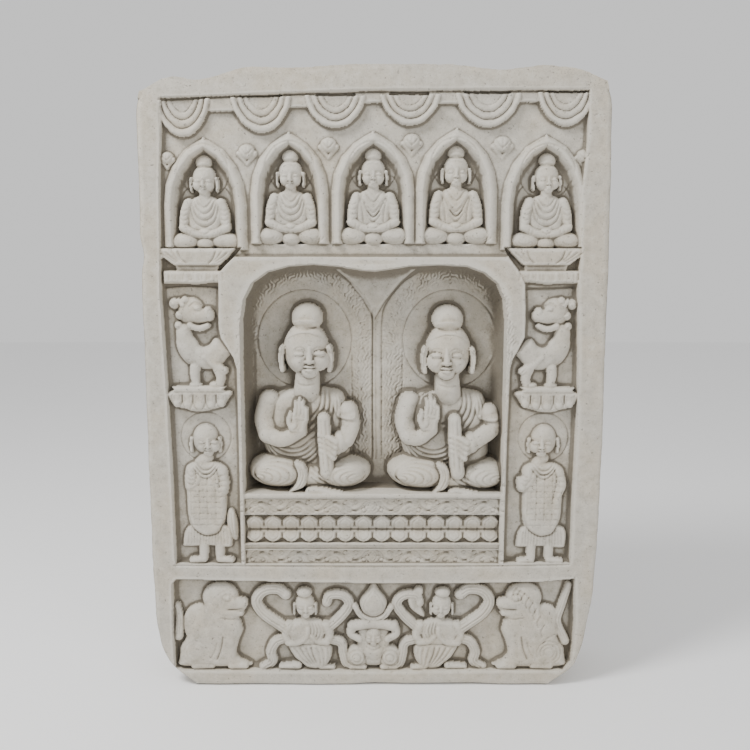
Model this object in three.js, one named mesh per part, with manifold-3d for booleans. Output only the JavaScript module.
// A carved stone relief panel: one thick upright slab of pale marble. Two seated buddhas share a deep
// niche at its centre. Above them hang curtain swags over five small arched niches, each with a
// seated figure. A rearing beast on a lotus stand and a standing monk fill each side, and a frieze of
// two lions, two kneeling attendants and a squatting bearer with a jewel runs along the foot.
// Everything is cut from the same block, so the panel is one solid.
//
// Millimetres, +Z up. The origin is the centre of the underside, and the carving faces -Y.
// A place on the panel is given by x, z and its depth behind the slab's front plane.

import * as THREE from "three";
import { mergeVertices } from "three/addons/utils/BufferGeometryUtils.js";
import Module from "manifold-3d";

const wasm = await Module();
wasm.setup();

// ---------------------------------------------------------------- driving dimensions
const WIDTH = 530;
const HEIGHT = 723;
const THICKNESS = 112;
const FRONT = -THICKNESS / 2;
const WORN_EDGE = 6; // how far the slab's arrises are rounded off
const ROOT = 5; // how far a raised form reaches into the stone behind it

const HALF = WIDTH / 2;
const FIELD = 236; // half width of the carved field inside the plain border

// Levels, counted down from the slab's front plane.
const DEPTH = {
  curtain: 9,
  column: 12,
  frieze: 15,
  smallNiche: 19,
  niche: 50,
};

// Heights of the horizontal divisions.
const LEVEL = {
  friezeFoot: 20,
  friezeTop: 131,
  railTop: 150,
  seat: 237, // top of the throne that carries the two main figures
  nicheTop: 504,
  shelf: 528, // foot of the three middle arches
  fieldTop: 692,
};

// ---------------------------------------------------------------- solids from three.js geometry
// A closed geometry as a solid that can be joined and cut.
function solidOf(geometry) {
  const bare = new THREE.BufferGeometry();
  bare.setAttribute("position", geometry.getAttribute("position"));
  if (geometry.index) bare.setIndex(geometry.index);
  const merged = mergeVertices(bare, 1e-3);
  return new wasm.Manifold(
    new wasm.Mesh({
      numProp: 3,
      vertProperties: new Float32Array(merged.attributes.position.array),
      triVerts: new Uint32Array(merged.index.array),
    }),
  );
}

function joined(solids) {
  return wasm.Manifold.union(solids);
}

// A place on the panel, given as [x, z, depth].
function place([x, z, depth]) {
  return new THREE.Vector3(x, FRONT + depth, z);
}

function polygon(points) {
  return new THREE.Shape(points.map(([x, z]) => new THREE.Vector2(x, z)));
}

function rectangle(x0, x1, z0, z1) {
  return polygon([
    [x0, z0],
    [x1, z0],
    [x1, z1],
    [x0, z1],
  ]);
}

// The same on both sides of x: the points run up the right-hand side only.
function mirrored(x, points) {
  const right = points.map(([dx, z]) => [x + dx, z]);
  const left = points.map(([dx, z]) => [x - dx, z]).reverse();
  return polygon([...right, ...left]);
}

// An outline in the panel's plane, extruded from depth "back" forward to depth "front".
// A bevel softens both faces; the rear one is buried in the stone.
function plate(shape, front, back, { bevel = 0, segments = 3 } = {}) {
  const geometry = new THREE.ExtrudeGeometry(shape, {
    depth: back - front - 2 * bevel,
    curveSegments: segments,
    bevelEnabled: bevel > 0,
    bevelThickness: bevel,
    bevelSize: bevel,
    bevelOffset: -bevel,
    bevelSegments: 1,
  });
  geometry.rotateX(Math.PI / 2);
  geometry.translate(0, FRONT + back - bevel, 0);
  return solidOf(geometry);
}

// A rounded form that swells towards the front from an oval rim: half sizes rx and rz at the rim,
// which lies at "depth", and "rise" towards the viewer. Its sides run straight back by "reach".
function dome([x, z, depth], [rx, rz], rise, { turn = 0, sides = 7, reach = 0 } = {}) {
  const profile = [
    [0, -rise],
    [0.7, -0.74 * rise],
    [1, 0],
    ...(reach > 0 ? [[1, reach]] : []),
    [0, reach + ROOT],
  ];
  const geometry = new THREE.LatheGeometry(
    profile.map(([r, y]) => new THREE.Vector2(r, y)),
    sides,
  );
  geometry.rotateY(Math.PI / sides);
  geometry.scale(rx, 1, rz);
  geometry.rotateY(turn);
  geometry.translate(x, FRONT + depth, z);
  return solidOf(geometry);
}

// A tapering limb with blunt ends, between two places.
function limb(from, to, rFrom, rTo = rFrom, sides = 5) {
  const a = place(from);
  const b = place(to);
  const length = a.distanceTo(b);
  const geometry = new THREE.LatheGeometry(
    [
      [0, -0.8 * rFrom],
      [rFrom, 0],
      [rTo, length],
      [0, length + 0.8 * rTo],
    ].map(([r, y]) => new THREE.Vector2(r, y)),
    sides,
  );
  const along = new THREE.Vector3().subVectors(b, a).normalize();
  geometry.applyQuaternion(new THREE.Quaternion().setFromUnitVectors(new THREE.Vector3(0, 1, 0), along));
  geometry.translate(a.x, a.y, a.z);
  return solidOf(geometry);
}

// A raised fold or band along a smooth line through places, three-sided by default.
function ridge(places, radius, steps = 6, sides = 3) {
  const section = new THREE.Shape();
  section.absarc(0, 0, radius, 0, 2 * Math.PI, false);
  const geometry = new THREE.ExtrudeGeometry(section, {
    steps,
    curveSegments: sides,
    extrudePath: new THREE.CatmullRomCurve3(places.map(place)),
    bevelEnabled: false,
  });
  return solidOf(geometry);
}

// ---------------------------------------------------------------- the slab
// The block's outline: straight sides, worn round corners, and a top edge that has lost flakes.
const TOP_EDGE = [
  [-246, 705],
  [-228, 710],
  [-203, 705],
  [-142, 719],
  [-82, 718],
  [-16, HEIGHT],
  [82, HEIGHT],
  [137, 718],
  [191, 722],
  [235, 717],
  [253, 704],
];

function slab() {
  const shape = new THREE.Shape();
  shape.moveTo(-215, 0);
  shape.lineTo(208, 0);
  shape.quadraticCurveTo(240, 12, 250, 50);
  shape.quadraticCurveTo(262, 90, HALF, 170);
  shape.quadraticCurveTo(HALF, 680, 253, 704);
  for (const [x, z] of TOP_EDGE.slice(0, -1).reverse()) shape.lineTo(x, z);
  shape.quadraticCurveTo(-HALF, 690, -HALF, 665);
  shape.lineTo(-HALF, 532);
  shape.lineTo(-HALF + 3, 518);
  shape.lineTo(-HALF, 505);
  shape.lineTo(-HALF, 90);
  shape.quadraticCurveTo(-HALF + 4, 12, -215, 0);
  return plate(shape, 0, THICKNESS, { bevel: WORN_EDGE, segments: 3 });
}

// ---------------------------------------------------------------- sunk grounds
const CUT_FRONT = -10; // cuts start in front of the slab

function curtainGround() {
  const outline = polygon([
    [-FIELD, LEVEL.shelf + 3],
    [FIELD, LEVEL.shelf + 3],
    [FIELD, LEVEL.fieldTop + 2],
    [-FIELD, LEVEL.fieldTop - 6],
  ]);
  return plate(outline, CUT_FRONT, DEPTH.curtain);
}

// The left and right columns differ a little, as hand work does.
function columnGrounds() {
  const left = [
    [-236, LEVEL.railTop + 2],
    [-168, LEVEL.railTop + 2],
    [-166, 392],
    [-177, 422],
    [-177, 482],
    [-152, 522],
    [-150, 532],
    [-240, 532],
    [-240, 300],
  ];
  const right = [
    [153, LEVEL.railTop + 3],
    [232, LEVEL.railTop + 4],
    [234, 532],
    [148, 532],
    [150, 522],
    [169, 482],
    [170, 425],
    [158, 392],
    [158, 240],
  ];
  return [left, right].map((points) => plate(polygon(points), CUT_FRONT, DEPTH.column));
}

function friezeGround() {
  const outline = polygon([
    [-240, LEVEL.friezeFoot],
    [238, LEVEL.friezeFoot],
    [238, LEVEL.friezeTop + 3],
    [0, LEVEL.friezeTop - 2],
    [-240, LEVEL.friezeTop + 4],
  ]);
  return plate(outline, CUT_FRONT, DEPTH.frieze);
}

// ---------------------------------------------------------------- the five small arches
const ARCHES = [
  { x: -191, half: 39, foot: 522, spring: 572, apex: 636 },
  { x: -96, half: 36, foot: LEVEL.shelf, spring: 588, apex: 641 },
  { x: -2, half: 39, foot: LEVEL.shelf, spring: 588, apex: 643 },
  { x: 91, half: 38, foot: LEVEL.shelf, spring: 588, apex: 646 },
  { x: 191, half: 40, foot: 522, spring: 572, apex: 638 },
];
const ARCH_RIM = 7;

// A pointed arch: straight jambs that curve in and rise to a small point.
function archOutline({ x, half, foot, spring, apex }, grow = 0) {
  const w = half + grow;
  const top = apex + grow * 1.6;
  const rise = top - spring;
  const shape = new THREE.Shape();
  shape.moveTo(x - w, foot);
  shape.lineTo(x - w, spring);
  shape.bezierCurveTo(x - w, spring + 0.62 * rise, x - 0.35 * w, top - 0.12 * rise, x, top);
  shape.bezierCurveTo(x + 0.35 * w, top - 0.12 * rise, x + w, spring + 0.62 * rise, x + w, spring);
  shape.lineTo(x + w, foot);
  return shape;
}

function archHollow(arch) {
  return plate(archOutline(arch), CUT_FRONT, DEPTH.smallNiche, { segments: 3 });
}

function archRim(arch) {
  const rooted = { ...arch, foot: arch.foot - 4 };
  const rim = plate(archOutline(rooted, ARCH_RIM), 3, DEPTH.curtain + ROOT, { segments: 3 });
  return rim.subtract(archHollow(arch));
}

// A round halo is a flat disc, barely raised on its ground.
function halo(x, z, radius, ground, sides = 6) {
  const shape = new THREE.Shape();
  shape.absarc(x, z, radius, 0, 2 * Math.PI, false);
  return plate(shape, ground - 1.6, ground + ROOT, { segments: sides });
}

// A seated figure, 105 mm high, with its hands joined in its lap. z counts up from its seat.
function smallBuddha(x, seat) {
  const at = (dx, z, depth) => [x + dx, seat + z, depth];
  const back = DEPTH.smallNiche + ROOT;
  const body = [
    [22, 12],
    [27, 26],
    [23, 52],
    [12, 64],
  ].map(([dx, z]) => [dx, seat + z]);
  const legs = [
    [30, -3],
    [42, 8],
    [28, 19],
    [8, 14],
  ].map(([dx, z]) => [dx, seat + z]);
  return [
    dome(at(0, 82, 16), [13, 18], 11),
    dome(at(0, 99, 14), [8, 7], 7, { sides: 5 }),
    plate(mirrored(x, body), 7, back, { bevel: 5 }),
    plate(mirrored(x, legs), 4, back, { bevel: 4 }),
    dome(at(0, 18, 9), [10, 6], 5, { sides: 5 }),
  ];
}

// A lotus-bud boss between two arches.
function spandrelBud(x) {
  return dome([x, 636, 10], [9, 10], 5, { sides: 6 });
}

// ---------------------------------------------------------------- the curtain
const SWAGS = [
  { x: -213, half: 32, drop: 643 },
  { x: -126, half: 34, drop: 648 },
  { x: -44, half: 34, drop: 653 },
  { x: 39, half: 35, drop: 656 },
  { x: 125, half: 38, drop: 654 },
  { x: 211, half: 32, drop: 655 },
];
const CURTAIN_TOP = 690;

// Cloth hung in loops: folds nested one in front of another, joined by short flat drops.
function curtain() {
  const back = DEPTH.curtain + ROOT;
  const parts = [];
  for (const { x, half, drop } of SWAGS) {
    for (const [share, front] of [
      [1, 4.5],
      [0.58, 2],
    ]) {
      const w = half * share;
      const sag = (CURTAIN_TOP - drop) * share;
      const fold = [
        [-1, 0],
        [-0.78, -0.56],
        [-0.3, -0.96],
        [0.3, -0.96],
        [0.78, -0.56],
        [1, 0],
      ].map(([u, v]) => [THREE.MathUtils.clamp(x + u * w, -FIELD - 4, FIELD + 4), CURTAIN_TOP + v * sag]);
      parts.push(plate(polygon(fold), front, back, { bevel: 2 }));
    }
  }
  SWAGS.slice(1).forEach(({ x }, i) => {
    const middle = (x + SWAGS[i].x) / 2;
    parts.push(plate(rectangle(middle - 9, middle + 9, 675, CURTAIN_TOP - 3), 6.5, back));
  });
  return parts;
}

// ---------------------------------------------------------------- lotus seats of the outer figures
function lotusSeat(x, outward) {
  const back = DEPTH.column + ROOT;
  const cup = [
    [x - 42, 521],
    [x - 28, 502],
    [x + 28, 502],
    [x + 42, 521],
  ];
  const block = x + 12 * outward;
  return [
    plate(polygon(cup), 5, back),
    plate(rectangle(x - 26, x + 26, 496, 504), 7, back),
    plate(rectangle(block - 33, block + 33, 479, 497), 3, back),
    ...[-1, 0, 1].map((step) => dome([x + step * 20, 511, 6], [10, 8], 3.5, { sides: 6 })),
  ];
}

// ---------------------------------------------------------------- rearing beasts on lotus stands
// A point list drawn for the left-hand figure, turned over for the right-hand one (side -1).
function facing(centre, side, points) {
  const placed = points.map(([u, z]) => [centre + side * u, z]);
  return polygon(side > 0 ? placed : placed.reverse());
}

// u runs from the column's centre towards the panel's middle.
function beast(centre, side) {
  const at = (u, z, depth) => [centre + side * u, z, depth];
  const back = DEPTH.column + ROOT;
  const body = [
    [-30, 464],
    [-34, 448],
    [-28, 425],
    [-33, 402],
    [-17, 386],
    [-12, 366],
    [2, 366],
    [5, 386],
    [13, 388],
    [14, 366],
    [27, 366],
    [36, 394],
    [24, 412],
    [0, 412],
    [-5, 428],
    [2, 462],
    [-14, 470],
  ];
  return [
    plate(facing(centre, side, body), 5, back, { bevel: 3 }),
    dome(at(-8, 450, 8), [17, 15], 5), // head
    limb(at(-4, 446, 11), at(11, 445, 10), 9, 6), // snout
    limb(at(-19, 402, 16), at(22, 398, 15), 15, 12), // body
    limb(at(6, 404, 8), at(28, 388, 6), 7, 5), // raised paw
    plate(rectangle(centre - 30, centre + 30, 359, 366), 3, back),
    plate(mirrored(centre, [[22, 338], [31, 361]]), 6, back),
    ...[-17, 0, 17].map((u) => dome([centre + u, 349, 7], [9, 10], 4, { sides: 5 })),
  ];
}

// ---------------------------------------------------------------- standing monks
function monk(centre, side) {
  const at = (u, z, depth) => [centre + side * u, z, depth];
  const back = DEPTH.column + ROOT;
  const robe = [
    [28, 172],
    [22, 226],
    [27, 258],
    [18, 279],
  ];
  const mantle = [
    [9, 184],
    [17, 200],
    [16, 264],
  ];
  const parts = [
    halo(centre, 305, 28, DEPTH.column, 5),
    dome(at(0, 305, 11), [14.5, 20], 9, { sides: 8 }),
    plate(mirrored(centre, robe), 4, back, { bevel: 4 }),
    plate(mirrored(centre, mantle), 2, back, { bevel: 2 }),
    limb(at(-25, 243, 9), at(-12, 262, 5), 7, 4), // hands at the breast
    limb(at(26, 243, 9), at(17, 236, 7), 7, 5),
  ];
  for (const u of [-12, 13]) {
    parts.push(plate(rectangle(centre + side * u - 6, centre + side * u + 6, 154, 176), 6, back));
    parts.push(dome(at(1.6 * u, 156, 11), [12, 5.5], 7, { sides: 6 }));
  }
  return parts;
}

// ---------------------------------------------------------------- the central niche and its throne
const NICHE = { left: -154, right: 149, corner: 46 };
const SPINE = -2; // where the two flame haloes meet

// The hollow's walls are upright at the mouth and curve into the back, like a shallow apse. The
// cutter curves in at its near end too, but there it is clear of the stone.
function nicheHollow() {
  const { left, right, corner } = NICHE;
  const foot = LEVEL.railTop + 0.5;
  const outline = new THREE.Shape();
  outline.moveTo(left, foot);
  outline.lineTo(right - 2, foot);
  outline.lineTo(right, LEVEL.nicheTop - corner);
  outline.quadraticCurveTo(right - 4, LEVEL.nicheTop - 4, right - corner, LEVEL.nicheTop);
  outline.lineTo(left + corner, LEVEL.nicheTop);
  outline.quadraticCurveTo(left + 4, LEVEL.nicheTop - 4, left, LEVEL.nicheTop - corner);
  const wall = 18; // how far the walls curve in by the back
  const curve = 34; // over what depth
  const geometry = new THREE.ExtrudeGeometry(outline, {
    depth: DEPTH.niche - curve - CUT_FRONT,
    curveSegments: 3,
    bevelEnabled: true,
    bevelThickness: curve,
    bevelSize: wall,
    bevelOffset: -wall,
    bevelSegments: 2,
  });
  geometry.rotateX(Math.PI / 2);
  geometry.translate(0, FRONT + DEPTH.niche - curve, 0);
  return solidOf(geometry);
}

// Behind each figure: a flame-edged arch, a panel behind the body and a round halo behind the head.
function flameHalo(x, left, right) {
  const ground = DEPTH.niche;
  const foot = LEVEL.seat - 4;
  const flame = { x: (left + right) / 2, half: (right - left) / 2, foot, spring: 430, apex: 496 };
  const body = { x, half: 57, foot, spring: 380, apex: 430 };
  const disc = new THREE.Shape();
  disc.absarc(x, 416, 55, 0, 2 * Math.PI, false);
  return [
    plate(archOutline(flame), ground - 2.5, ground + ROOT),
    plate(archOutline(body), ground - 4, ground + ROOT),
    plate(disc, ground - 5.5, ground + ROOT, { segments: 9 }),
  ];
}

// The throne is a long bench: a flat band above, a waist of double lotus petals and a band below.
const THRONE = { left: -157, right: 151 }; // its ends run into the niche's sides

function throne() {
  const inner = DEPTH.niche + ROOT;
  const profile = [
    [inner, LEVEL.railTop - 4],
    [3, LEVEL.railTop - 4],
    [3, 171],
    [2, 172],
    [2, 177],
    [5, 178],
    [12, 193],
    [12, 196],
    [4, 212],
    [2, 213],
    [3, 216],
    [3, 231],
    [1.5, 232],
    [1.5, LEVEL.seat],
    [inner, LEVEL.seat + 2],
  ];
  const geometry = new THREE.ExtrudeGeometry(polygon(profile), {
    depth: THRONE.right - THRONE.left,
    bevelEnabled: false,
  });
  // The profile is drawn as depth by height; two turns lay it along the bench.
  geometry.rotateX(Math.PI / 2);
  geometry.rotateZ(Math.PI / 2);
  geometry.translate(THRONE.left, FRONT, 0);
  return solidOf(geometry);
}

// One row of petals: a scalloped band from the waist to the petals' tips.
function petalRow(waist, tips, front) {
  const petals = 14;
  const pitch = (THRONE.right - THRONE.left) / petals;
  const points = [];
  for (let i = 0; i < petals; i += 1) {
    const x = THRONE.left + i * pitch;
    points.push([x + 0.06 * pitch, waist + 0.3 * (tips - waist)]);
    points.push([x + 0.28 * pitch, tips]);
    points.push([x + 0.72 * pitch, tips]);
    points.push([x + 0.94 * pitch, waist + 0.3 * (tips - waist)]);
  }
  const outline = [[THRONE.left, waist], ...points, [THRONE.right, waist]];
  return plate(polygon(tips > waist ? outline.reverse() : outline), front, DEPTH.niche);
}

// ---------------------------------------------------------------- the two main figures
// The right hand is raised, palm out, and the left grips a rolled hem that hangs over the knee.
// The legs may sit a little to one side of the body, and the face turns towards the other figure.
function mainBuddha(x, legs, turn) {
  const at = (dx, z, depth) => [x + dx, LEVEL.seat + z, depth];
  const back = DEPTH.niche + ROOT;
  const torso = [
    [42, 12],
    [47, 40],
    [55, 66],
    [50, 100],
    [36, 122],
    [16, 126],
  ].map(([dx, z]) => [dx, LEVEL.seat + z]);
  const neck = mirrored(x + turn, [
    [16, LEVEL.seat + 110],
    [16, LEVEL.seat + 150],
  ]);
  const parts = [
    dome(at(turn, 168, 28), [26, 32], 20, { sides: 10, reach: 16 }), // head
    dome(at(turn, 184, 31), [29, 17], 19, { sides: 8, reach: 12 }), // hair
    dome(at(turn, 205, 34), [18, 14], 16, { sides: 7, reach: 8 }), // topknot
    dome(at(1.8 * turn, 163, 12), [3.5, 9], 6, { sides: 4 }), // nose
    plate(neck, 22, back, { bevel: 6 }),
    plate(mirrored(x, torso), 24, back, { bevel: 12 }),
    dome(at(-2, 72, 26), [32, 46], 10, { sides: 8 }), // chest
    limb(at(-42, 67, 19), at(-10, 74, 13), 13, 10), // raised forearm
    dome(at(-9, 92, 12), [9, 21], 7, { sides: 6, turn: -0.1, reach: 10 }), // open hand
    limb(at(46, 66, 24), at(31, 57, 12), 15, 11), // lowered forearm
    limb(at(20, 88, 16), at(24, 28, 12), 8, 8.5), // rolled hem
    dome(at(legs - 36, 21, 26), [38, 23], 23, { sides: 8, turn: -0.06, reach: 10 }), // knees
    dome(at(legs + 40, 19, 26), [34, 20], 22, { sides: 8, turn: 0.08, reach: 10 }),
    limb(at(legs - 8, 26, 14), at(legs + 18, 6, 10), 11, 8), // hem over the shins
  ];
  for (const side of [-1, 1]) {
    parts.push(dome(at(turn + side * 28, 160, 34), [5, 17], 6, { sides: 4 })); // ears
  }
  // Folds of the robe hang in loops across the chest.
  for (const [drop, spread] of [
    [34, 28],
    [54, 20],
  ]) {
    const fold = [at(-spread, drop + 22, 17), at(-2, drop, 16), at(0.9 * spread, drop + 30, 17)];
    parts.push(ridge(fold, 2.8, 3));
  }
  return parts;
}

// ---------------------------------------------------------------- the frieze
// u runs towards the middle of the panel in all the paired figures.
function seatedLion(centre, side) {
  const at = (u, z, depth) => [centre + side * u, z, depth];
  const back = DEPTH.frieze + ROOT;
  const body = [
    [34, 22],
    [31, 48],
    [38, 70],
    [20, 100],
    [-8, 100],
    [-24, 62],
    [-30, 24],
  ];
  return [
    plate(facing(centre, side, body), 6, back, { bevel: 4 }),
    dome(at(13, 104, 14), [24, 22], 11, { sides: 9 }), // head and mane
    limb(at(26, 101, 12), at(42, 98, 11), 10, 7), // snout
    limb(at(26, 83, 11), at(39, 81, 9), 7, 5), // jaw
    dome(at(-12, 40, 9), [17, 15], 5, { sides: 6 }), // haunch
    dome(at(34, 25, 14), [12, 7], 10, { sides: 5 }), // paws
    dome(at(0, 25, 14), [15, 7], 10, { sides: 5 }),
    ridge([at(-30, 30, 14), at(-37, 60, 13), at(-31, 92, 13), at(-36, 126, 13)], 7, 4), // tail
  ];
}

function kneelingAttendant(centre, side) {
  const at = (u, z, depth) => [centre + side * u, z, depth];
  const back = DEPTH.frieze + ROOT;
  const body = [
    [28, 22],
    [31, 34],
    [24, 52],
    [29, 58],
    [21, 80],
    [0, 86],
    [-17, 80],
    [-24, 58],
    [-18, 42],
    [-26, 22],
  ];
  const parts = [
    plate(facing(centre, side, body), 7, back, { bevel: 4 }),
    dome(at(1, 101, 13), [12, 17], 9), // head
    dome(at(1, 119, 14), [7, 6], 6, { sides: 5 }), // hair knot
    limb(at(-17, 58, 9), at(24, 58, 9), 6, 6), // forearms, hands joined
    limb(at(4, 44, 14), at(21, 31, 11), 12, 9), // thigh
    limb(at(2, 28, 10), at(-24, 25, 10), 7, 5), // shin
  ];
  const scarves = [
    [at(-14, 70, 13), at(-40, 84, 13), at(-50, 104, 13), at(-26, 120, 13)],
    [at(18, 70, 13), at(38, 80, 13), at(48, 96, 13), at(28, 110, 13)],
    [at(-20, 60, 13), at(-39, 48, 13), at(-34, 20, 13)],
    [at(26, 60, 13), at(42, 48, 13), at(47, 21, 13)],
  ];
  for (const line of scarves) parts.push(ridge(line, 6.5, line.length - 1));
  return parts;
}

// A squatting bearer holds a flame-shaped jewel on a shallow dish over his head.
function jewelBearer(x) {
  const at = (dx, z, depth) => [x + dx, z, depth];
  return [
    dome(at(0, 102, 14), [18, 25], 10, { sides: 6, turn: Math.PI / 6 }), // jewel
    ridge([at(-24, 96, 11), at(0, 81, 9), at(24, 96, 11)], 4, 4), // dish
    limb(at(-27, 73, 11), at(27, 73, 11), 7), // arms spread under the dish
    dome(at(0, 62, 12), [10, 11], 9), // head
    dome(at(0, 44, 15), [19, 18], 10), // belly
    limb(at(-18, 42, 12), at(-18, 26, 10), 9, 8), // bent legs
    limb(at(18, 42, 12), at(18, 26, 10), 9, 8),
  ];
}

// ---------------------------------------------------------------- the whole panel
const hollows = [
  curtainGround(),
  ...columnGrounds(),
  friezeGround(),
  ...ARCHES.map(archHollow),
  nicheHollow(),
];

const carving = [
  ...curtain(),
  ...ARCHES.map(archRim),
  ...ARCHES.flatMap(({ x, foot }) => smallBuddha(x, foot)),
  ...[-143, -50, 43, 143].map(spandrelBud),
  ...lotusSeat(-197, -1),
  ...lotusSeat(193, 1),
  ...beast(-196, 1),
  ...beast(191, -1),
  ...monk(-197, 1),
  ...monk(194, -1),
  ...flameHalo(-84, NICHE.left + 4, SPINE - 1),
  ...flameHalo(88, SPINE + 1, NICHE.right - 4),
  throne(),
  petalRow(195, 212, 6),
  petalRow(194, 178, 6),
  ...mainBuddha(-82, 2, 2),
  ...mainBuddha(88, -12, -2),
  ...seatedLion(-195, 1),
  ...seatedLion(195, -1),
  ...kneelingAttendant(-84, 1),
  ...kneelingAttendant(80, -1),
  ...jewelBearer(-2),
];

const SLIVER = 0.5; // edges that bend less than this are merged away after the joins
const whole = slab().subtract(joined(hollows)).add(joined(carving)).simplify(SLIVER);

// Pockets shut in between overlapping forms are dropped, so the stone is solid right through.
const panel = whole.decompose().reduce((a, b) => (a.volume() > b.volume() ? a : b));

// A solid's triangles as a geometry.
function geometryOf(solid) {
  const mesh = solid.getMesh();
  const geometry = new THREE.BufferGeometry();
  geometry.setAttribute("position", new THREE.BufferAttribute(mesh.vertProperties, 3));
  geometry.setIndex(new THREE.BufferAttribute(mesh.triVerts, 1));
  geometry.computeVertexNormals();
  return geometry;
}

const marble = new THREE.MeshStandardMaterial({ color: 0xb8ae9a, roughness: 0.88, metalness: 0 });

const reliefPanel = new THREE.Mesh(geometryOf(panel), marble);
reliefPanel.name = "relief_panel";

const part = new THREE.Group();
part.add(reliefPanel);

export default part;
